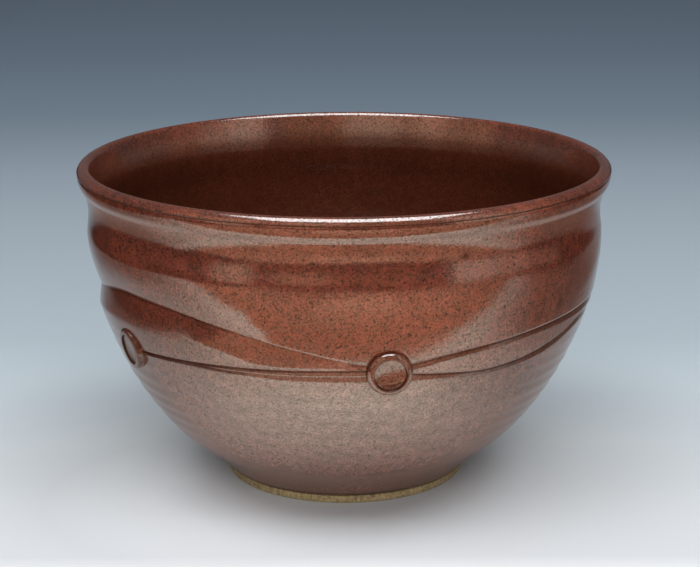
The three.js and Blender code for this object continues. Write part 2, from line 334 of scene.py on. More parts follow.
to_right = add_math(shade_tree, "ADD", shade_x, widening)
to_left = add_math(shade_tree, "SUBTRACT", widening, shade_x)
right_part = shade_one_side(to_right, RIGHT_START, 0.08, 0.95, -0.05)
left_part = shade_one_side(to_left, LEFT_START, 0.10, 0.85, -0.01)
far_fade = add_range(shade_tree, shade_y, FAR_START, FAR_END, 1.0, FAR_SHARE)
shade = add_math(shade_tree, "MULTIPLY", add_math(shade_tree, "ADD", right_part, left_part), far_fade)
veil = shade_tree.nodes.new("ShaderNodeMixShader")
shade_tree.links.new(shade, veil.inputs["Fac"])
clear = shade_tree.nodes.new("ShaderNodeBsdfTransparent")
shade_tree.links.new(clear.outputs["BSDF"], veil.inputs[1])
shade_tree.links.new(shade_tree.nodes["Emission"].outputs["Emission"], veil.inputs[2])
shade_tree.links.new(veil.outputs["Shader"], shade_tree.nodes["Material Output"].inputs["Surface"])
print("the shade starts", RIGHT_START, "m to the right and", LEFT_START, "m to the left")

# %% [markdown]
# ## Upright screens
# Screens to the left and right give the warm upright sheens on the neck and flanks, and the far
# wall of the room shows over the table. A curved wall of one picture could do it, but a few flat
# screens, each with its bearings, heights, distance and colour, are easier to set one by one.

# %% Upright screens
SCREENS = [
    ("screen_right", 43, 64, 0.0, 1.0, 0.75, (0.74, 0.60, 0.58)),
    ("screen_right_side", 64, 80, 0.0, 1.0, 0.75, (0.54, 0.40, 0.37)),
    ("screen_right_end", 80, 100, 0.0, 1.0, 0.75, (0.32, 0.20, 0.17)),
    ("screen_left", -54, -37, 0.0, 1.0, 0.80, (0.67, 0.47, 0.41)),
    ("room_left", -80, -33, 0.25, 1.8, 1.50, (0.42, 0.30, 0.24)),
    ("room_middle", -30, 0, 0.25, 1.8, 1.50, (0.56, 0.47, 0.42)),
    ("room_low_left", -30, -7, 0.0, 0.25, 1.50, (0.45, 0.27, 0.20)),
    ("room_low_middle", -7, 26, 0.0, 0.25, 1.50, (0.20, 0.09, 0.06)),
    ("room_right", 0, 31, 0.25, 1.8, 1.50, (0.28, 0.18, 0.13)),
]
for screen in SCREENS:
    add_screen(*screen)
print("upright screens:", len(SCREENS))

# %% [markdown]
# ## Lamps
# The studio's light comes from a large soft source above and in front. Wide area lamps stand for
# it and for the light that pale walls throw back from the left, the right and in front: they
# keep the shadow soft. Reflections don't see them, since the cards give those, so that light
# and gloss can each be set alone. A faint even world fills what is left.

# %% Lamps and world


def add_softbox(name, place, target, width, depth, power):
    """A square lamp that shines from its place towards a target."""
    lamp = bpy.data.lights.new(name, "AREA")
    lamp.shape = "RECTANGLE"
    lamp.size = width
    lamp.size_y = depth
    lamp.energy = power
    softbox = bpy.data.objects.new(name, lamp)
    bpy.context.collection.objects.link(softbox)
    aim = Vector(target) - Vector(place)
    softbox.location = place
    softbox.rotation_euler = aim.to_track_quat("-Z", "Y").to_euler()
    softbox.visible_glossy = False


BOWL_MIDDLE = (0.0, 0.0, 0.08)
AIR_COLOUR = (0.86, 0.90, 0.95)
AIR_STRENGTH = 0.15
add_softbox("ceiling bounce", (0, -0.55, 2.1), (0, -0.05, 0), 2.8, 1.3, 39.0)
add_softbox("front bounce", (0.0, -1.8, 0.9), BOWL_MIDDLE, 1.6, 1.0, 12.0)
add_softbox("left bounce", (-1.2, -0.2, 1.9), BOWL_MIDDLE, 1.4, 1.0, 6.5)
add_softbox("right bounce", (1.2, -0.2, 1.9), BOWL_MIDDLE, 1.4, 1.0, 7.5)

world = bpy.data.worlds.new("studio")
bpy.context.scene.world = world
world.use_nodes = True
air = world.node_tree.nodes["Background"]
air.inputs["Color"].default_value = (*AIR_COLOUR, 1.0)
air.inputs["Strength"].default_value = AIR_STRENGTH

# %% [markdown]
# ## Body of the glaze
# Tenmoku is full of iron. Where it lies thin it fires rust red, and close up it is a fine mottle
# of red and dark specks. An image would show its pixels close up, so the specks are noise in the
# piece's own metres, at three scales: slow patches, a mottle of a few millimetres, and specks
# finer than a millimetre. Low in front the glaze is paler, partly as thinner glaze and partly as
# a painted reflection of the lit paper below.

# %% Body of the glaze
PATCH_SCALE = 30.0
MOTTLE_SCALE = 260.0
SPECK_SCALE = 1300.0
THIN_AND_SHEEN_START, THIN_AND_SHEEN_FULL = 0.085, 0.060
SHEEN_FRONT_START, SHEEN_FRONT_FULL = -0.05, -0.105
THIN_GLAZE_AND_SHEEN = (0.275, 0.175, 0.142)
SPECKS = [(0.32, (0.42, 0.42, 0.42)), (0.50, (1.0, 1.0, 1.0)), (0.68, (1.35, 1.45, 1.55))]
MOTTLE = [(0.35, (0.78, 0.80, 0.80)), (0.65, (1.20, 1.14, 1.14))]


def add_glaze_body(tree, place, y, z, red, dark, thin_and_sheen_share):
    """Colour of open glaze, its pale low front (thin glaze and painted reflection), and its specks."""
    body = add_ramp(tree, add_noise(tree, place, PATCH_SCALE, 4.0, 0.6), [(0.35, dark), (0.65, red)])
    low_down = add_range(tree, z, THIN_AND_SHEEN_START, THIN_AND_SHEEN_FULL, 0.0, thin_and_sheen_share)
    # Kept to the front, the paleness is in part a painted reflection of the lit paper.
    sheen_in_front = add_range(tree, y, SHEEN_FRONT_START, SHEEN_FRONT_FULL, 0.0, 1.0)
    thin_and_sheen = add_math(tree, "MULTIPLY", low_down, sheen_in_front)
    body = add_mix(tree, thin_and_sheen, body, THIN_GLAZE_AND_SHEEN)
    speckle = add_noise(tree, place, SPECK_SCALE, 3.0, 0.7)
    colour = add_mix(tree, 1.0, body, add_ramp(tree, speckle, SPECKS), "MULTIPLY")
    mottle = add_ramp(tree, add_noise(tree, place, MOTTLE_SCALE, 3.0, 0.6), MOTTLE)
    return add_mix(tree, 1.0, colour, mottle, "MULTIPLY"), thin_and_sheen, speckle


print("specks of the glaze, from dark to pale:", [colour for _, colour in SPECKS])

# %% [markdown]
# ## Painted shade at the sides
# Towards the sides, and in a band below the folds, the glaze is painted darker and less glossy:
# painted shade, where the sides turn from the light and show the darker room and the shadowed
# paper. It stays bright on the neck, under the rim, but for its right end. The zones could be
# painted on the mesh as an attribute. As ranges of place they keep their soft borders on any
# mesh, and each one can be moved by its own numbers.

# %% Painted shade at the sides
SIDE_START, SIDE_FULL = 0.045, 0.100
NECK_LOW, NECK_HIGH = 0.1235, 0.1435
NECK_END, NECK_END_FULL = 0.094, 0.110
BAND_SHIFT = 0.012
BAND_START, BAND_FULL = 0.045, 0.085
BAND_EDGES = ((0.048, 0.056), (0.080, 0.072))


def add_glaze_side_shade(tree, x, z):
    """Share of painted shade on the glaze, from 0 in the middle of the front to 1 at the sides."""
    glaze_side_shade = add_range(tree, add_math(tree, "ABSOLUTE", x), SIDE_START, SIDE_FULL, 0.0, 1.0)
    off_neck = add_math(tree, "ABSOLUTE", add_range(tree, z, NECK_LOW, NECK_HIGH, -1.0, 1.0))
    glaze_side_shade = add_math(tree, "MULTIPLY", glaze_side_shade, add_range(tree, off_neck, 0.25, 0.70, 0.1, 1.0))
    neck_end = add_range(tree, x, NECK_END, NECK_END_FULL, 0.0, 0.9)
    glaze_side_shade = add_math(tree, "MAXIMUM", glaze_side_shade, neck_end)
    off_middle = add_math(tree, "ABSOLUTE", add_math(tree, "ADD", x, BAND_SHIFT))
    band = add_range(tree, off_middle, BAND_START, BAND_FULL, 0.0, 0.9)
    for start, full in BAND_EDGES:
        band = add_math(tree, "MULTIPLY", band, add_range(tree, z, start, full, 0.0, 1.0))
    return add_math(tree, "MAXIMUM", glaze_side_shade, band)


# The painted shade at the sides starts and is full at these distances out from the middle.
print("dry glaze from", SIDE_START, "to", SIDE_FULL, "m out from the middle")

# %% [markdown]
# ## Pooled glaze and painted shade
# How thickly the glaze has pooled is an attribute that each piece carries, and the same
# attribute holds painted shade in creases, grooves and crevices and inside the bowl: 0 on open
# clay and 1 in a crevice. An image could hold it too, but an attribute needs no unwrapping and
# is as fine as the mesh. In two small places on the wall the glaze gathered by itself and fired
# dark. Each of these spots is a soft ball round a point, squashed to the spot's width and
# height. A row of the list gives its angle, height, half width, half height and strength.

# %% Pooled glaze and painted shade
GLAZE_RADIUS = 114.5
SPOTS = [
    (25.3, 126.0, 1.9, 2.3, 0.72),
    (53.0, 96.0, 2.2, 6.5, 0.6),
]


def add_spot(tree, place, angle, height, half_width, half_height, strength):
    """A small pool of glaze at an angle and a height, with sizes in millimetres."""
    turned = radians(angle)
    middle = (GLAZE_RADIUS * MM * sin(turned), -GLAZE_RADIUS * MM * cos(turned), height * MM)
    away = tree.nodes.new("ShaderNodeVectorMath")
    away.operation = "SUBTRACT"
    tree.links.new(place, away.inputs[0])
    away.inputs[1].default_value = middle
    stretched = tree.nodes.new("ShaderNodeVectorMath")
    stretched.operation = "MULTIPLY"
    tree.links.new(away.outputs["Vector"], stretched.inputs[0])
    across, upright = 1 / (half_width * MM), 1 / (half_height * MM)
    stretched.inputs[1].default_value = (across, across, upright)
    far = tree.nodes.new("ShaderNodeVectorMath")
    far.operation = "LENGTH"
    tree.links.new(stretched.outputs["Vector"], far.inputs[0])
    return add_range(tree, far.outputs["Value"], 0.4, 1.2, strength, 0.0)


def add_pools_and_shade(tree, place):
    """Pooled glaze and painted shade, in crevices and inside, with the pooled glaze of the spots."""
    attribute = tree.nodes.new("ShaderNodeAttribute")
    attribute.attribute_name = "glaze_pool_and_shade"
    pool_and_shade = attribute.outputs["Fac"]
    for spot in SPOTS:
        pool_and_shade = add_math(tree, "MAXIMUM", pool_and_shade, add_spot(tree, place, *spot))
    return pool_and_shade


print("spots of glaze:", len(SPOTS))

# %% [markdown]
# ## Gloss of the glaze
# Over it all lies a hard gloss, less on dark specks, crystals and pools, and less where painted
# shade lies: in crevices, inside the bowl and towards the sides. It could be dulled by
# roughness, but this glaze stays sharp where it is dull, as if it had less glass: so the strength
# of the reflection changes and the roughness doesn't. It is stronger than window glass gives,
# since iron makes the glaze dense, so the index of refraction is set well above that of glass.
# The fine bump breaks up its edges.

# %% Gloss of the glaze
IRON_TINT = (1.0, 0.86, 0.68)
CRYSTAL_STRENGTH = 0.90
GLAZE_SIDE_SHADE_GLOSS = 0.36
POOL_AND_SHADE_GLOSS = 0.22
CRYSTAL_GLOSS = 0.40
GLAZE_ROUGHNESS = 0.14
GLAZE_IOR = 2.75
BUMP_SCALE = 700.0
BUMP_HEIGHT = 0.00007


def add_gloss(tree, shader, place, speckle, pool_and_shade, crystals, glaze_side_shade):
    """Sets a shader's gloss and fine bump."""
    gloss = add_range(tree, speckle, 0.36, 0.60, 0.32, 0.60)
    for dulling in (
        add_range(tree, pool_and_shade, 0.35, 0.74, 1.0, POOL_AND_SHADE_GLOSS),
        add_range(tree, crystals, 0.0, CRYSTAL_STRENGTH, 1.0, CRYSTAL_GLOSS),
        add_range(tree, glaze_side_shade, 0.0, 1.0, 1.0, GLAZE_SIDE_SHADE_GLOSS),
    ):
        gloss = add_math(tree, "MULTIPLY", gloss, dulling)
    tree.links.new(gloss, shader.inputs["Specular IOR Level"])
    shader.inputs["Specular Tint"].default_value = (*IRON_TINT, 1.0)
    shader.inputs["Roughness"].default_value = GLAZE_ROUGHNESS
    shader.inputs["IOR"].default_value = GLAZE_IOR
    bump = tree.nodes.new("ShaderNodeBump")
    bump.inputs["Strength"].default_value = 0.8
    bump.inputs["Distance"].default_value = BUMP_HEIGHT
    tree.links.new(add_noise(tree, place, BUMP_SCALE, 3.0, 0.6), bump.inputs["Height"])
    tree.links.new(bump.outputs["Normal"], shader.inputs["Normal"])


# These are the gloss under painted shade at the sides, under pools and painted shade, and on crystals.
print("gloss on dry glaze, pools and crystals:", GLAZE_SIDE_SHADE_GLOSS, POOL_AND_SHADE_GLOSS, CRYSTAL_GLOSS)

# %% [markdown]
# ## Iron glaze
# The whole glaze is its body, darkened by painted shade towards the sides, with fine dark
# crystals, nearly black where it pools and under painted shade in crevices and inside the bowl,
# and with its gloss over them all. The glaze lies thicker and darker on the buttons. They could
# share the wall's material and darken it by an attribute, but a function makes a second one from
# its own two body colours.

# %% Iron glaze material
GLAZE_SIDE_SHADE_TONE = (0.72, 0.73, 0.73)
CRYSTAL_BLACK = (0.014, 0.012, 0.007)
CRYSTAL_SCALE = 950.0
POOL_AND_SHADE_BROWN = (0.040, 0.011, 0.005)
WALL_RED, WALL_BROWN = (0.210, 0.049, 0.026), (0.147, 0.033, 0.018)
BUTTON_RED, BUTTON_BROWN = (0.15, 0.036, 0.019), (0.11, 0.026, 0.015)


def make_glaze(name, red, dark, thin_and_sheen_share):
    """Iron glaze of two body colours, paler low in front by a share from 0 to 1: thin glaze and painted
    reflection.
    """
    look = bpy.data.materials.new(name)
    look.use_nodes = True
    tree = look.node_tree
    shader = tree.nodes["Principled BSDF"]
    place, x, y, z = add_place(tree)
    colour, thin_and_sheen, speckle = add_glaze_body(tree, place, y, z, red, dark, thin_and_sheen_share)
    # Painted shade towards the sides darkens the colour and dulls the gloss.
    glaze_side_shade = add_glaze_side_shade(tree, x, z)
    colour = add_mix(tree, glaze_side_shade, colour, GLAZE_SIDE_SHADE_TONE, "MULTIPLY")
    grains = add_noise(tree, place, CRYSTAL_SCALE, 3.0, 0.7)
    crystals = add_range(tree, grains, 0.34, 0.47, CRYSTAL_STRENGTH, 0.0)
    crystals = add_math(tree, "MULTIPLY", crystals, add_range(tree, thin_and_sheen, 0.0, 0.9, 1.0, 0.5))
    colour = add_mix(tree, crystals, colour, CRYSTAL_BLACK)
    pool_and_shade = add_pools_and_shade(tree, place)
    # Nearly black where glaze pools and where painted shade lies in crevices and inside the bowl.
    colour = add_mix(tree, pool_and_shade, colour, POOL_AND_SHADE_BROWN)
    tree.links.new(colour, shader.inputs["Base Color"])
    add_gloss(tree, shader, place, speckle, pool_and_shade, crystals, glaze_side_shade)
    return look


iron_glaze = make_glaze("iron glaze", WALL_RED, WALL_BROWN, thin_and_sheen_share=0.9)
button_glaze = make_glaze("button glaze", BUTTON_RED, BUTTON_BROWN, thin_and_sheen_share=0.0)
print("glazes made:", iron_glaze.name, button_glaze.name)

# %% [markdown]
# ## Bare clay
# The foot shows the stoneware itself: buff, dry and sandy, with paler grains of sand and darker
# specks of iron. Grains could be scattered over it, but it is under 4 mm tall and rough all over,
# so only colour noise and a little bump are needed.

# %% Bare clay material
CLAY_TONES = [(0.32, (0.19, 0.13, 0.060)), (0.5, (0.43, 0.315, 0.155)), (0.7, (0.62, 0.48, 0.27))]
SAND_SCALE = 700.0
GRIT_SCALE = 1300.0
GRIT_HEIGHT = 0.0003
bare_clay = bpy.data.materials.new("bare clay")
bare_clay.use_nodes = True
clay_tree = bare_clay.node_tree
clay_shader = clay_tree.nodes["Principled BSDF"]
clay_place = clay_tree.nodes.new("ShaderNodeTexCoord").outputs["Object"]
clay_colour = add_ramp(clay_tree, add_noise(clay_tree, clay_place, SAND_SCALE, 4.0, 0.7), CLAY_TONES)
clay_tree.links.new(clay_colour, clay_shader.inputs["Base Color"])
clay_shader.inputs["Roughness"].default_value = 0.85
clay_bump = clay_tree.nodes.new("ShaderNodeBump")
clay_bump.inputs["Strength"].default_value = 0.5
clay_bump.inputs["Distance"].default_value = GRIT_HEIGHT
clay_tree.links.new(add_noise(clay_tree, clay_place, GRIT_SCALE, 2.0), clay_bump.inputs["Height"])
clay_tree.links.new(clay_bump.outputs["Normal"], clay_shader.inputs["Normal"])
print("bare clay made with", len(CLAY_TONES), "tones")

# %% [markdown]
# ## Helpers for a potter
# Two kinds of line are drawn again and again. `along` walks a Bezier curve, as the edge of a
# potter's rib would be drawn. `through` draws a smooth line through a few chosen points, which
# is how the folds are laid out round the wall. Drawn curve objects would do for a few lines, but
# as small functions they can also be asked for their value at any angle.

# %% Curves


def on_curve(knots, share):
    """Point at a share of the way along the Bezier curve with these knots."""
    points = [Vector(knot) for knot in knots]
    while len(points) > 1:
        points = [a.lerp(b, share) for a, b in zip(points, points[1:])]
    return points[0]


def along(knots, steps):
    """Points along a Bezier curve at even shares of the way, without its first point."""
    return [on_curve(knots, step / steps) for step in range(1, steps + 1)]


def through(knots, places):
    """Smooth line through a few (place, value) knots, read at the given places."""
    xs, ys = np.array(knots, dtype=float).T
    rise = np.diff(ys) / np.diff(xs)
    before, after = rise[:-1], rise[1:]
    same_way = before * after > 0
    gentle = 2 * before * after / np.where(same_way, before + after, 1.0)
    slopes = np.concatenate([[0.0], np.where(same_way, gentle, 0.0), [0.0]])
    left = np.clip(np.searchsorted(xs, places) - 1, 0, len(xs) - 2)
    span = xs[left + 1] - xs[left]
    t = np.clip((places - xs[left]) / span, 0.0, 1.0)
    start = ys[left] * (1 + 2 * t) * (1 - t) ** 2 + slopes[left] * span * t * (1 - t) ** 2
    end = ys[left + 1] * t * t * (3 - 2 * t) + slopes[left + 1] * span * t * t * (t - 1)
    return start + end


print("curve helpers ready")

# %% [markdown]
# ## Turning
# A pot is round because the wheel turns it, so each round piece is made the same way: `turn`
# draws half its outline, spins it once round the upright axis, and merges the seam. A Screw
# modifier would do the same, but the spin leaves a plain mesh that can be worked on at once.

# %% Turning


def pick(piece):
    """Makes one object the selected and active one."""
    bpy.ops.object.select_all(action="DESELECT")
    piece.select_set(True)
    bpy.context.view_layer.objects.active = piece


def turn(name, outline, segments, closed):
    """Spins an outline of (radius, height) in millimetres into a solid of revolution."""
    drawing = bpy.data.curves.new(name, "CURVE")
    drawing.dimensions = "3D"
    line = drawing.splines.new("POLY")
    line.points.add(len(outline) - 1)
    for point, (radius, height) in zip(line.points, outline):
        point.co = (radius * MM, 0.0, height * MM, 1.0)
    line.use_cyclic_u = closed
    piece = bpy.data.objects.new(name, drawing)
    bpy.context.collection.objects.link(piece)
    pick(piece)
    bpy.ops.object.convert(target="MESH")
    piece = bpy.context.object
    piece.data.name = name
    bpy.ops.object.mode_set(mode="EDIT")
    bpy.ops.mesh.select_all(action="SELECT")
    bpy.ops.mesh.spin(steps=segments, angle=2 * pi, center=(0, 0, 0), axis=(0, 0, 1))
    bpy.ops.mesh.select_all(action="SELECT")
    bpy.ops.mesh.remove_doubles(threshold=0.000002)
    bpy.ops.mesh.normals_make_consistent(inside=False)
    bpy.ops.object.mode_set(mode="OBJECT")
    print(name, "has", len(piece.data.polygons), "faces")
    return piece


print("helpers for turning ready")

# %% [markdown]
# ## Working by hand and finishing
# After the wheel comes the work by hand. `read_points` and `write_points` lift a mesh's points
# out and put them back, which is quick for thousands of points and needs no sculpting brush.
# Another helper keeps the pooled glaze and painted shade on the mesh itself, where the glaze reads
# it, and `finish_piece` gives a piece its finish and puts it in its CAD nodes' place.

# %% Working by hand and finishing


def read_points(piece):
    """The places of a piece's vertices as an array of millimetres, one row each."""
    flat = np.empty(len(piece.data.vertices) * 3)
    piece.data.vertices.foreach_get("co", flat)
    return flat.reshape(-1, 3) / MM


def write_points(piece, points):
    """Puts the vertices of a piece at the places given in millimetres."""
    piece.data.vertices.foreach_set("co", (points * MM).reshape(-1))
    piece.data.update()


def paint_pool_and_shade(piece, amounts):
    """Writes pooled glaze and painted shade at each vertex, from 0 to 1."""
    pool_and_shade = piece.data.attributes.new("glaze_pool_and_shade", "FLOAT", "POINT")
    pool_and_shade.data.foreach_set("value", np.clip(amounts, 0.0, 1.0))


def finish_piece(piece, material, slot, *nodes, corner=55):
    """Smooths a piece but for its corners, and puts it in the place of its CAD nodes."""
    pick(piece)
    bpy.ops.object.shade_smooth_by_angle(angle=radians(corner))
    piece.data.materials.clear()
    piece.data.materials.append(material)
    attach(piece, "root")
    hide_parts(*nodes)


print("helpers for hand work ready")

# %% [markdown]
# ## Outline of the glazed wall
# The wall is one skin: out from the foot, over the belly to the rim joint, and down again
# inside. A chain of straight lines would do for the CAD solid's neighbours, but a glossy wall
# shows every kink. So the outline is the CAD outline, drawn as Bezier curves that meet without
# corners.

# %% Outline of the wall
FOOT_GLAZE_LINE = (54.6, 3.9)
FLARE_CORNER = (59.9, 10.7)
FLARE_END = (71.2, 18.7)
BELLY_REACH = 22.3
SHOULDER = (116.0, 113.0)
SHOULDER_EASE = 37.4
SHOULDER_TURN = 119.0
NECK_TURN = 119.5
NECK = (115.1, 125.5)
NECK_FLARE = 129.5
RIM_JOINT = (117.0, 134.0)
WALL_THICKNESS = 5.5
FLOOR_TOP = 15.0

flare_way = (Vector(FLARE_END) - Vector(FLARE_CORNER)).normalized() * BELLY_REACH
belly = [FLARE_END, Vector(FLARE_END) + flare_way, (SHOULDER[0], SHOULDER[1] - SHOULDER_EASE), SHOULDER]
neck = [SHOULDER, (SHOULDER[0], SHOULDER_TURN), (NECK[0], NECK_TURN), NECK]
neck_flare = [NECK, (NECK[0], NECK_FLARE), RIM_JOINT]
rib = [Vector(FOOT_GLAZE_LINE)] + along([FOOT_GLAZE_LINE, FLARE_CORNER, FLARE_END], 40)
rib += along(belly, 400) + along(neck, 60) + along(neck_flare, 60)
rib_heights = np.array([point.y for point in rib])
rib_radii = np.array([point.x for point in rib])


def smooth_radius(height):
    """Outer radius of the wall as it came off the wheel."""
    return np.interp(height, rib_heights, rib_radii)


print("wall at 75 mm up is", round(float(smooth_radius(75.0)), 2), "mm out")

# %% [markdown]
# ## Two fold lines
# One line of folds runs high and one low round the belly, and both dip into the buttons. Each
# is a height that changes round the bowl, 0 degrees being the front and plus the right. At the
# line the wall steps in under a narrow ledge, then comes straight down again over a strip. Left
# of the front button the lower strip is parted by a second, finer step. Each quality of a fold,
# such as its ledge, its step or the pooled glaze and painted shade in it, is a line of its own:
# points of (angle, value), in degrees and millimetres, with a share from 0 to 1 for the pooled
# glaze and painted shade. The lines run once round the bowl, from the back button at -159
# degrees to the same button at 201.

# %% Fold lines
# The last two lines of each fold darken its crease and its strip: pooled glaze and painted shade.
UPPER_FOLD = {
    "height": [(-159, 84), (-125, 84.5), (-95, 87.5), (-75, 94.5), (-55, 100), (-42, 99), (-25, 94.3),
               (-8, 86.9), (4, 81.3), (10, 80.3), (15, 81.2), (22, 83.5), (35, 86), (50, 87.9), (75, 89),
               (100, 88.6), (106, 89), (132, 91.7), (160, 91.5), (185, 87.5), (201, 84)],
    "ledge": [(-159, 0.6), (-30, 0.6), (-18, 0.6), (-8, 0.9), (2, 1.4), (8, 2.3), (15, 2.6), (24, 2.0),
              (34, 1.2), (201, 1.2)],
    "strip": [(-159, 2.0), (0, 2.0), (12, 2.6), (30, 2.0), (50, 2.2), (70, 3.0), (201, 2.6)],
    "step": [(-159, 0.0), (12, 0.0), (15, 0.9), (40, 0.8), (70, 1.0), (201, 0.9)],
    "swell": [(-159, 0.0), (12, 0.0), (15, 0.25), (60, 0.3), (201, 0.3)],
    "fine_step": [(-159, 0.0), (201, 0.0)],
    "pool_and_shade": [(-159, 0.0), (-100, 0.5), (-60, 0.9), (-26, 0.7), (-17, 0.2), (5, 0.0), (14, 0.8), (35, 0.95),
             (201, 0.95)],
    "strip_pool_and_shade": [(-159, 0.0), (11, 0.0), (14, 0.45), (40, 0.55), (201, 0.55)],
}
LOWER_FOLD = {
    "height": [(-159, 79.5), (-105, 77), (-56.6, 74.2), (-45, 75.6), (-30, 77.0), (-15, 78.0), (3, 78.9),
               (10, 77.8), (14, 76.4), (22, 75), (33, 73.7), (42, 74.7), (55, 78.6), (70, 84), (84, 84.6),
               (100, 84), (106, 84.2), (132, 79.6), (155, 76.9), (180, 77.6), (201, 79.5)],
    "ledge": [(-159, 0.8), (-50, 0.9), (-35, 1.3), (-20, 1.9), (4, 1.7), (14, 1.4), (30, 0.7), (201, 0.8)],
    "strip": [(-159, 1.2), (-40, 1.4), (-25, 3.0), (-10, 4.4), (5, 5.0), (15, 3.2), (30, 1.7), (50, 3.0),
              (70, 3.6), (201, 2.4)],
    "step": [(-159, 0.0), (-62, 0.0), (-56, 0.6), (-40, 1.1), (-20, 1.4), (5, 1.3), (15, 1.2), (32, 0.7),
             (50, 1.1), (70, 1.2), (201, 0.9)],
    "swell": [(-159, 0.0), (-62, 0.0), (-50, 0.15), (0, 0.15), (15, 0.2), (60, 0.3), (201, 0.3)],
    "fine_step": [(-159, 0.0), (-38, 0.0), (-28, 0.16), (4, 0.16), (9, 0.0), (201, 0.0)],
    "pool_and_shade": [(-159, 0.0), (-62, 0.0), (-52, 0.9), (-20, 0.85), (5, 0.8), (14, 0.85), (35, 0.95), (201, 0.95)],
    "strip_pool_and_shade": [(-159, 0.0), (-60, 0.0), (-50, 0.7), (-30, 0.55), (-15, 0.35), (5, 0.3), (14, 0.4),
                   (40, 0.55), (201, 0.55)],
}
print("fold lines have", len(UPPER_FOLD["height"]), "and", len(LOWER_FOLD["height"]), "points")

# %% [markdown]
# ## Steps of a fold
# The folds could be sculpted by hand, and could then hardly be changed. Here each fold is a
# relief, worked out at any angle and height: a swelling above the ledge, the drop over it, and
# the strip that comes out again below it. So the rows of the mesh can be bent to follow both
# folds later, and each ledge keeps a crisp edge.

# %% Steps of a fold
SWELL_HEIGHT = 9.0
GENTLE_PART = 0.7
GENTLE_DROP = 0.22
FINE_PLACE = 0.55
FINE_LEDGE = 0.5


def round_bowl(line, angle):
    """Value of a fold's line at angles of any turn, from -159 to 201 degrees."""
    return through(line, (angle + 159.0) % 360.0 - 159.0)


def ledge_drop(above, ledge):
    """Share of a step that is gone at a height on the ledge: gently at first, then sharply."""
    down = 1.0 - above / ledge
    gentle = GENTLE_DROP * down / GENTLE_PART
    steep = GENTLE_DROP + (1.0 - GENTLE_DROP) * (down - GENTLE_PART) / (1.0 - GENTLE_PART)
    return np.where(down < GENTLE_PART, gentle, steep)


def fold_relief(angle, height, fold):
    """How far the wall stands out (plus) or in (minus) along one fold, in millimetres."""
    above = height - round_bowl(fold["height"], angle)
    ledge, strip = round_bowl(fold["ledge"], angle), round_bowl(fold["strip"], angle)
    step, swell = round_bowl(fold["step"], angle), round_bowl(fold["swell"], angle)
    swelling = swell * np.clip(1.0 - (above - ledge) / SWELL_HEIGHT, 0.0, 1.0) ** 2
    on_ledge = swell - step * ledge_drop(above, ledge)
    on_strip = (swell - step) * np.clip(1.0 + above / strip, 0.0, 1.0)
    fine_line = FINE_PLACE * strip
    fine = np.clip((above + fine_line) / FINE_LEDGE, 0.0, 1.0)
    fine = fine * np.clip(-above / (fine_line - FINE_LEDGE), 0.0, 1.0)
    on_strip = on_strip + round_bowl(fold["fine_step"], angle) * fine
    return np.where(above > ledge, swelling, np.where(above > 0, on_ledge, on_strip))


print("lower fold in front is", round(float(round_bowl(LOWER_FOLD["height"], 0.0)), 2), "mm up")

# %% [markdown]
# ## The pressed flank
# On the left the soft wall was pressed in above the buttons. Down to the upper fold it slopes
# in, there it creases, and below it comes straight out again to a knee, as hanging cloth does.
# Towards the front the slope above ends and the crease turns into a small step. A lattice could
# press the wall in, but not as sharply as the crease is, so this is a relief as the folds are.

# %% Pressed flank
PRESS_DEPTH = [(-180, 0.0), (-159, 0.0), (-130, 0.6), (-105, 2.2), (-84, 3.0), (-60, 3.5), (-42, 3.4),
               (-30, 2.8), (-22, 2.1), (-15, 1.2), (-8, 0.9), (0, 0.9), (5, 0.9), (8, 0.0), (180, 0.0)]
SLOPE_SHARE = [(-180, 1.0), (-22, 1.0), (-15, 0.0), (180, 0.0)]
KNEE_HEIGHT = [(-180, 80), (-100, 80), (-75, 85), (-45, 87), (-33, 86.3), (-25, 83.5), (-19, 80.5),
               (0, 79.5), (180, 79.5)]
KNEE_GAP = 1.5
SLOPE_TOP = 115.0
SLOPE_CURVE = 1.3


def press_relief(angle, height):
    """How far the wall is pressed in along the upper fold, in millimetres."""
    turned = (angle + 180.0) % 360.0 - 180.0
    crease = round_bowl(UPPER_FOLD["height"], angle)
    ledge = round_bowl(UPPER_FOLD["ledge"], angle)
    depth = np.interp(turned, *zip(*PRESS_DEPTH))
    sloped = depth * np.interp(turned, *zip(*SLOPE_SHARE))
    knee = np.minimum(through(KNEE_HEIGHT, turned), crease - KNEE_GAP)
    above = height - crease
    up_slope = np.clip((above - ledge) / (SLOPE_TOP - crease - ledge), 0.0, 1.0)
    slope = sloped * (1.0 - up_slope) ** SLOPE_CURVE
    on_ledge = sloped + (depth - sloped) * ledge_drop(above, ledge)
    hanging = depth * np.clip(1.0 + above / (crease - knee), 0.0, 1.0)
    return -np.where(above > ledge, slope, np.where(above > 0, on_ledge, hanging))


print("deepest press:", max(depth for _, depth in PRESS_DEPTH), "mm")

# %% [markdown]
# ## The potter's hand
# A thrown wall is never quite round or even. Slow waves of a tenth of a millimetre and faint
# throwing rings low down are enough to make its reflections wander and break as real ones do.
# A displacement texture could do it, but the same waves are also wanted inside the bowl and
# under the buttons, so they are a function that each of them can ask.

# %% Unevenness
WAVES = [(0.14, 60.0, 20.0), (0.06, 26.0, 6.0), (0.02, 9.0, 2.6)]
RING_DEPTH = 0.19
RING_GAP = 6.5
RING_WANDER = 9.0
RING_MIDDLE = 50.0
RING_SPREAD = 20.0


def noise_over(angle, height, across, upright):
    """Smooth noise over the wall, in patches so many millimetres across and upright."""
    turned = np.radians(angle)
    x = np.sin(turned) * SHOULDER[0] / across
    y = np.cos(turned) * SHOULDER[0] / across
    z = height / upright
    return np.array([noise.noise(Vector(spot)) for spot in zip(x.flat, y.flat, z.flat)]).reshape(x.shape)


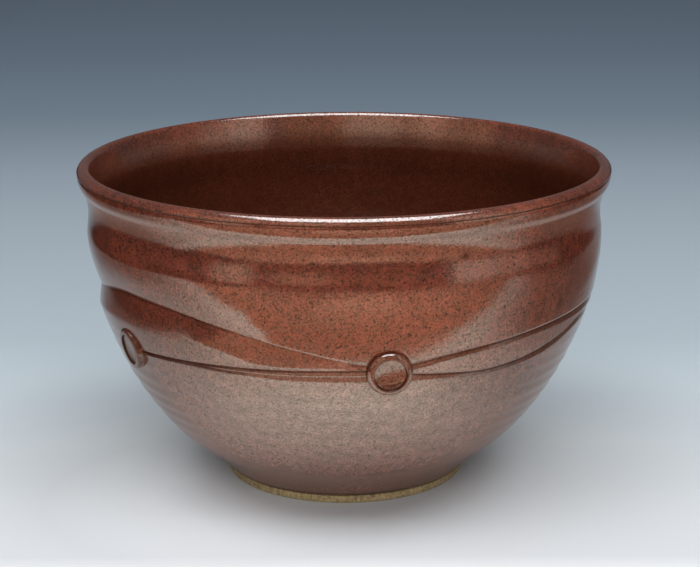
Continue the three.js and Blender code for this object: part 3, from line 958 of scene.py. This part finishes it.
def throwing_waves(angle, height):
    """Waves and throwing rings of the wall, in millimetres."""
    waves = sum(depth * noise_over(angle, height, across, upright) for depth, across, upright in WAVES)
    turns = height * 2 * pi / RING_GAP + RING_WANDER * waves
    rings = np.sin(turns) * np.exp(-(((height - RING_MIDDLE) / RING_SPREAD) ** 2))
    return waves + RING_DEPTH * rings


print("waves up to", WAVES[0][0], "mm and rings up to", RING_DEPTH, "mm deep")

# %% [markdown]
# ## The worked wall
# The outline from the wheel, the pressed flank, both folds and the waves add up to one radius at
# any angle and height. The relief fades out at the foot and at the rim joint, where the wall has
# to meet its round neighbours.

# %% Radius of the worked wall
FOOT_FADE_START = 6.0
FOOT_FADE = 10.0
RIM_FADE = 3.0


def wall_radius(angle, height):
    """Outer radius of the worked wall in millimetres."""
    relief = press_relief(angle, height) + throwing_waves(angle, height)
    relief += fold_relief(angle, height, UPPER_FOLD) + fold_relief(angle, height, LOWER_FOLD)
    off_foot = np.clip((height - FOOT_FADE_START) / FOOT_FADE, 0, 1)
    off_rim = np.clip((RIM_JOINT[1] - height) / RIM_FADE, 0, 1)
    return smooth_radius(height) + relief * (off_foot * off_rim)


crease_and_knee = wall_radius(np.array([-50.0, -50.0]), np.array([100.0, 87.0]))
print("crease and knee at -50 degrees are", crease_and_knee.round(2), "mm out")

# %% [markdown]
# ## Spinning the wall
# The outline is spun in 360 steps, which leaves no flats to be seen. A cylinder pushed into
# shape could be the start, but a drawn outline has its rows where they are wanted: a quarter
# of a millimetre apart where the folds will be, and wider elsewhere. Inside, the line of the
# outside is moved in by the wall's thickness. Underneath, the skin closes over the foot hollow.

# %% Spin the wall
BELT = (66.0, 106.0)
ROWS = [
    (5.0, BELT[0], 1.5), (BELT[0], 74.0, 0.8), (74.0, 80.0, 0.25), (80.0, 87.0, 0.7),
    (87.0, 93.0, 0.25), (93.0, BELT[1], 0.8), (BELT[1], RIM_JOINT[1], 1.0),
]
FOOT_HOLLOW = (46.0, 7.0)
FLOOR_EASE = 12.0

row_heights = [FOOT_GLAZE_LINE[1]]
for start, end, gap in ROWS:
    row_heights += list(np.arange(start, end, gap))
row_heights.append(RIM_JOINT[1])
outside = [Vector((float(smooth_radius(height)), float(height))) for height in row_heights]


def offset_in(line, distance):
    """The line moved square to itself towards the inside of the bowl."""
    moved = []
    for i, point in enumerate(line):
        way = (line[min(i + 1, len(line) - 1)] - line[max(i - 1, 0)]).normalized()
        moved.append(Vector((point.x - way.y * distance, point.y + way.x * distance)))
    return moved


rib_inside = offset_in(rib[::12] + [rib[-1]], WALL_THICKNESS)
inside = [point for point in rib_inside if point.y > FLOOR_TOP + 1.0][::-1]
inside[0].y = RIM_JOINT[1]
floor_edge = inside[-1]
inside_floor = along([floor_edge, (floor_edge.x - FLOOR_EASE, FLOOR_TOP), (0.0, FLOOR_TOP)], 14)
underside = [Vector((0.0, FOOT_HOLLOW[1])), Vector(FOOT_HOLLOW), Vector((FOOT_HOLLOW[0], FOOT_GLAZE_LINE[1]))]
skin = underside + outside + inside + inside_floor
glazed_wall = turn("glazed_wall", skin, segments=360, closed=False)
print("rows outside", len(outside), "inside", len(inside) + len(inside_floor))

# %% [markdown]
# ## Working the outside
# Each point of the outside is first slid up or down, so that one row runs along each fold line,
# and then moved in or out by the worked wall's radius. A Displace modifier could push the wall,
# but the ledges would cross its rows and come out ragged. Inside, only the slow waves and part
# of the pressed flank show through.

# %% Work the wall
LOWER_ROW = 77.0
UPPER_ROW = 90.0
SKIN_GAP = 0.5
HOLLOW_REACH = 50.0
INSIDE_PRESS = 0.8
INSIDE_WAVES = 0.7
INSIDE_FADE = 6.0

points = read_points(glazed_wall)
radius = np.hypot(points[:, 0], points[:, 1])
angle = np.degrees(np.arctan2(points[:, 0], -points[:, 1]))
height = points[:, 2].copy()
on_skin = (np.abs(radius - smooth_radius(height)) < SKIN_GAP) & (radius > HOLLOW_REACH)
on_outside = on_skin & (height > FOOT_GLAZE_LINE[1] - 0.01)
on_inside = ~on_outside & (height > FLOOR_TOP + 2)

lower_line, upper_line = round_bowl(LOWER_FOLD["height"], angle), round_bowl(UPPER_FOLD["height"], angle)
below_lower = BELT[0] + (height - BELT[0]) * (lower_line - BELT[0]) / (LOWER_ROW - BELT[0])
between = lower_line + (height - LOWER_ROW) * (upper_line - lower_line) / (UPPER_ROW - LOWER_ROW)
slid = np.where(height < LOWER_ROW, below_lower, between)
above_upper = upper_line + (height - UPPER_ROW) * (BELT[1] - upper_line) / (BELT[1] - UPPER_ROW)
slid = np.where(height > UPPER_ROW, above_upper, slid)
in_belt = on_outside & (height > BELT[0]) & (height < BELT[1])
height = np.where(in_belt, slid, height)

worked = radius.copy()
worked[on_outside] = wall_radius(angle[on_outside], height[on_outside])
soft = INSIDE_PRESS * press_relief(angle[on_inside], height[on_inside])
soft += INSIDE_WAVES * throwing_waves(angle[on_inside], height[on_inside])
worked[on_inside] += soft * np.clip((RIM_JOINT[1] - height[on_inside]) / INSIDE_FADE, 0, 1)
points[:, 0] *= worked / np.maximum(radius, 0.001)
points[:, 1] *= worked / np.maximum(radius, 0.001)
points[:, 2] = height
write_points(glazed_wall, points)
print("outside points:", int(on_outside.sum()), "inside points:", int(on_inside.sum()))

# %% [markdown]
# ## Pools of glaze and painted shade
# Molten glaze runs down and gathers under each ledge and in a roll above the bare foot, and the
# dark in each crease is that pool and painted shade together. Inside the bowl the dark is
# painted shade, nearly black and fading out under the rim. Painting the weights by hand would do
# for one look, but here they are worked out from the same lines as the folds, so that a narrow
# band of dark glaze lies in each crease wherever it runs.

# %% Pools and painted shade on the wall
INSIDE_SHADE = 0.74
INSIDE_SHADE_TOP = 141.0
INSIDE_SHADE_FADE = 9.0
POOL_AND_SHADE_WIDTH = 0.5
POOL_AND_SHADE_DROP = 0.4
STRIP_TOP = 0.3
ROLL_HEIGHT = 4.5
ROLL_WIDTH = 1.6
ROLL_POOL = 0.7


def inside_shade(height):
    """Share of painted shade inside the bowl, fading out at the rim."""
    return INSIDE_SHADE * np.clip((INSIDE_SHADE_TOP - height) / INSIDE_SHADE_FADE, 0.0, 1.0)


def fold_pool_and_shade(angle, height, fold):
    """Share of pooled glaze and painted shade in a fold's crease and on its strip."""
    off_crease = height - round_bowl(fold["height"], angle) + POOL_AND_SHADE_DROP
    in_strip = (off_crease < STRIP_TOP) & (off_crease > -round_bowl(fold["strip"], angle))
    in_crease = round_bowl(fold["pool_and_shade"], angle) * np.exp(-((off_crease / POOL_AND_SHADE_WIDTH) ** 2))
    return np.maximum(in_crease, round_bowl(fold["strip_pool_and_shade"], angle) * in_strip)


folded = np.maximum(fold_pool_and_shade(angle, height, UPPER_FOLD), fold_pool_and_shade(angle, height, LOWER_FOLD))
foot_roll = ROLL_POOL * np.exp(-(((height - ROLL_HEIGHT) / ROLL_WIDTH) ** 2))
pool_and_shade = np.where(on_inside, inside_shade(height), 0.0)
pool_and_shade = np.where(on_outside, np.maximum(folded, foot_roll), pool_and_shade)
paint_pool_and_shade(glazed_wall, pool_and_shade)
finish_piece(
    glazed_wall, iron_glaze, "iron_glaze", "bowl_body", "fold_left_lower", "fold_left_upper",
    "fold_right_upper", "fold_right_lower", "fold_back_upper", "fold_back_lower",
)
print("points with a pool over a half:", int((pool_and_shade > 0.5).sum()))

# %% [markdown]
# ## Rolled rim
# The lip was rolled outwards into a soft bead, and a fine groove under the bead shows where. A
# torus has an even roundness all over, which this lip hasn't. So its closed outline is drawn,
# up the outside with the groove, over the bead and down the bevel inside, and spun.

# %% Rolled rim
RIM_RADIUS = 120.0
BOWL_HEIGHT = 145.0
BEAD_RADIUS = 3.85
GROOVE_HEIGHT = 141.9
BEAD_START = 18.0
BEAD_STEPS = 14
GROOVE_POOL_AND_SHADE = 0.9
GROOVE_WIDTH = 0.35
LIP_INSIDE = 113.5
bead_middle = (RIM_RADIUS - BEAD_RADIUS, BOWL_HEIGHT - BEAD_RADIUS)
inner_bottom = Vector((RIM_JOINT[0] - WALL_THICKNESS, RIM_JOINT[1]))
rim_outline = [inner_bottom, Vector((114.0, RIM_JOINT[1])), Vector(RIM_JOINT)]
rim_outline += along([RIM_JOINT, (117.9, 136.0), (119.6, 136.8), (119.7, GROOVE_HEIGHT - 0.6)], 14)
rim_outline += along([rim_outline[-1], (119.45, GROOVE_HEIGHT), (119.8, GROOVE_HEIGHT + 0.45)], 4)
for step in range(1, BEAD_STEPS + 1):
    swing = radians(BEAD_START + (90.0 - BEAD_START) * step / BEAD_STEPS)
    out, up = BEAD_RADIUS * cos(swing), BEAD_RADIUS * sin(swing)
    rim_outline.append(Vector((bead_middle[0] + out, bead_middle[1] + up)))
rim_outline += along([rim_outline[-1], (114.9, BOWL_HEIGHT), (114.1, 143.6)], 8)
rim_outline += along([(114.1, 143.6), (112.9, 139.0), inner_bottom], 10)[:-1]
rolled_rim = turn("rolled_lip", rim_outline, segments=256, closed=True)
rim_points = read_points(rolled_rim)
rim_radius = np.hypot(rim_points[:, 0], rim_points[:, 1])
# The groove is darkened by pooled glaze and painted shade, and the inside of the lip by painted shade.
in_groove = np.exp(-(((rim_points[:, 2] - GROOVE_HEIGHT) / GROOVE_WIDTH) ** 2)) * (rim_radius > RIM_JOINT[0])
lip_shade = inside_shade(rim_points[:, 2]) * (rim_radius < LIP_INSIDE)
paint_pool_and_shade(rolled_rim, np.maximum(GROOVE_POOL_AND_SHADE * in_groove, lip_shade))
finish_piece(rolled_rim, iron_glaze, "iron_glaze", "rolled_rim")
print("the rim is", 2 * RIM_RADIUS, "mm across, and its groove is", GROOVE_HEIGHT, "mm up")

# %% [markdown]
# ## Foot ring
# The foot was turned with a tool when the clay was leather hard: nearly straight sides, a flat
# underside and small chamfers where it touches the table. A tube with bevelled edges comes
# close, but its chamfers would all be alike, and on the real foot the outer one is rounder. So
# it is spun from ten points, inside first.

# %% Foot ring
FOOT_CORNERS = [
    (46.3, 3.9), (46.1, 0.8), (46.8, 0.05), (48.5, 0.0), (52.4, 0.0),
    (53.3, 0.1), (53.9, 0.6), (54.0, 1.2), (53.8, 2.6), (53.7, 3.9),
]
foot_outline = [Vector(corner) for corner in FOOT_CORNERS]
foot_ring = turn("bare_foot", foot_outline, segments=256, closed=True)
finish_piece(foot_ring, bare_clay, "bare_clay", "foot_ring", corner=30)
print("the foot is", round(2 * max(radius for radius, _ in FOOT_CORNERS), 1), "mm across")

# %% [markdown]
# ## Stamping a button
# Each button is a disc of clay with a raised bead and a dished face, made by a stamp. A disc
# could be inset and pulled up ring by ring, but half an outline, spun flat on the origin, gives
# the round bead and the dish at once. The dish is then tipped a little down. Pooled glaze and
# painted shade darken the crevice inside the bead and the foot of its side. A button that was
# pressed hard is low, with a rounder shoulder and hardly any of that darkening round its side.

# %% Stamp a button
BUTTON_RADIUS = 9.5
BEAD_WIDTH = 2.8
BEAD_TOP = 2.2
DISH_EDGE = BUTTON_RADIUS - BEAD_WIDTH
DISH_RIM = 0.58
DISH_CURVE = 2.2
DISH_TIP = 0.07
FACE_LEVEL = 0.45
SIDE_LEVEL = 0.6
SKIRT_WIDTH = 0.2
SKIRT_LEVEL = 0.3
CREVICE_WIDTH = 0.4
CREVICE_POOL_AND_SHADE = 0.9
PROUD = {"edge": 2.6, "floor": 0.5, "side": 0.7, "shoulder": [(9.45, 1.0), (8.6, 2.6)], "side_pool_and_shade": 0.8}
LOW = {"edge": 1.6, "floor": 0.6, "side": 0.45, "shoulder": [(9.5, 1.25), (9.0, 1.6)], "side_pool_and_shade": 0.1}


def stamp_button(name, profile):
    """A button flat on the origin: its points in millimetres, and its pooled glaze and painted shade."""
    edge, floor, side = profile["edge"], profile["floor"], profile["side"]
    bead_top, dish_rim = (BUTTON_RADIUS - BEAD_TOP, edge), (DISH_EDGE, DISH_RIM * edge)
    skirt = BUTTON_RADIUS + SKIRT_WIDTH
    outline = [Vector((0, 0)), Vector((skirt, 0.0))]
    outline += along([(skirt, 0.25), (BUTTON_RADIUS, SKIRT_LEVEL), (BUTTON_RADIUS, side)], 5)
    outline += along([(BUTTON_RADIUS, side), *profile["shoulder"], bead_top], 14)
    outline += along([bead_top, (DISH_EDGE + 0.1, edge), dish_rim], 10)
    outline += along([dish_rim, (DISH_EDGE - DISH_CURVE, floor), (0.0, floor)], 14)
    piece = turn(name, outline, segments=96, closed=False)

    points = read_points(piece)
    from_middle = np.hypot(points[:, 0], points[:, 1])
    in_dish = (points[:, 2] > FACE_LEVEL) & (from_middle < DISH_EDGE)
    points[in_dish, 2] += DISH_TIP * points[in_dish, 1] * (1 - (from_middle[in_dish] / DISH_EDGE) ** 4)
    crevice = np.exp(-(((from_middle - DISH_EDGE) / CREVICE_WIDTH) ** 2)) * (points[:, 2] > FACE_LEVEL)
    low_side = (points[:, 2] < SIDE_LEVEL) & (from_middle > DISH_EDGE)
    return piece, points, np.maximum(CREVICE_POOL_AND_SHADE * crevice, profile["side_pool_and_shade"] * low_side)


print("a button is", 2 * BUTTON_RADIUS, "mm across and", PROUD["edge"], "mm proud, or", LOW["edge"], "if low")

# %% [markdown]
# ## Places of the buttons
# Each button sits at its angle and height on the wall. `upturn` tips its face up from the wall,
# and `sideturn` turns it about the upright axis. The left one was pressed harder than the others,
# so it is `low`. An object could be turned to its place, but a finished piece stays unturned, so
# three directions are worked out instead, and the points themselves are carried there.

# %% Places of the buttons
BUTTONS = {
    "left": {"angle": -58.2, "height": 73.5, "upturn": 6.0, "sideturn": -2.0, "low": True},
    "front": {"angle": 9.6, "height": 78.3, "upturn": 10.0, "sideturn": 0.0, "low": False},
    "right": {"angle": 103.0, "height": 85.0, "upturn": 6.0, "sideturn": 0.0, "low": False},
    "back": {"angle": 201.0, "height": 80.0, "upturn": 6.0, "sideturn": 0.0, "low": False},
}


def wheel_point(angle, height):
    """Point on the pressed wall, without its folds and waves."""
    radius = float(smooth_radius(height) + press_relief(np.array([angle]), np.array([height]))[0])
    return Vector((radius * sin(radians(angle)), -radius * cos(radians(angle)), height))


def button_ways(button):
    """Three directions of a button on the wall: level, up along its face, and out of it."""
    level = Vector((cos(radians(button["angle"])), sin(radians(button["angle"])), 0.0))
    above = wheel_point(button["angle"], button["height"] + 2)
    rise = above - wheel_point(button["angle"], button["height"] - 2)
    outward = Matrix.Rotation(-radians(button["upturn"]), 3, level) @ level.cross(rise).normalized()
    sideways = Matrix.Rotation(radians(button["sideturn"]), 3, "Z")
    outward, level = sideways @ outward, sideways @ level
    return level, outward.cross(level).normalized(), outward


for place, button in BUTTONS.items():
    print(place, "button at", [round(v, 1) for v in wheel_point(button["angle"], button["height"])])

# %% [markdown]
# ## Pressing the buttons on
# The wall could cut off the back of a button, but soft clay takes the shape that it is pressed
# on. So the points of the back are pushed along until they lie just under the worked wall, with
# the skirt round them a hair above it, which hides the joint. The low button is also a little
# narrower.

# %% Press the buttons on
LOW_WIDTH = 0.88
LOW_LIFT = 0.3
BACK_LEVEL = 0.2
BURIED_DEPTH = 0.25
SKIRT_STAND = 0.05
PUSHES = 5


def add_button(name, node, button):
    """Stamps a button and presses it on the wall, in the place of its CAD node."""
    piece, points, crevice = stamp_button(name, LOW if button["low"] else PROUD)
    points[:, 0] *= LOW_WIDTH if button["low"] else 1.0
    on_wall = points[:, 2] < SKIRT_LEVEL
    buried = np.where(points[on_wall, 2] < BACK_LEVEL, BURIED_DEPTH, -SKIRT_STAND)
    level, up, outward = button_ways(button)
    lift = LOW_LIFT if button["low"] else BUTTON_RADIUS * sin(radians(button["upturn"]))
    seat = wheel_point(button["angle"], button["height"]) + outward * lift
    points = points @ np.array(Matrix((level, up, outward))) + np.array(seat)
    for _ in range(PUSHES):
        spots = points[on_wall]
        gap = np.hypot(spots[:, 0], spots[:, 1])
        gap -= wall_radius(np.degrees(np.arctan2(spots[:, 0], -spots[:, 1])), spots[:, 2])
        points[on_wall] -= np.outer(gap + buried, np.array(outward))
    write_points(piece, points)
    paint_pool_and_shade(piece, crevice)
    finish_piece(piece, button_glaze, "button_glaze", node)


for place, button in BUTTONS.items():
    add_button("button_" + place, "clay_button_" + place, button)
print("buttons pressed on:", list(BUTTONS))

# %% Finish
bpy.context.scene.view_settings.view_transform = "Standard"
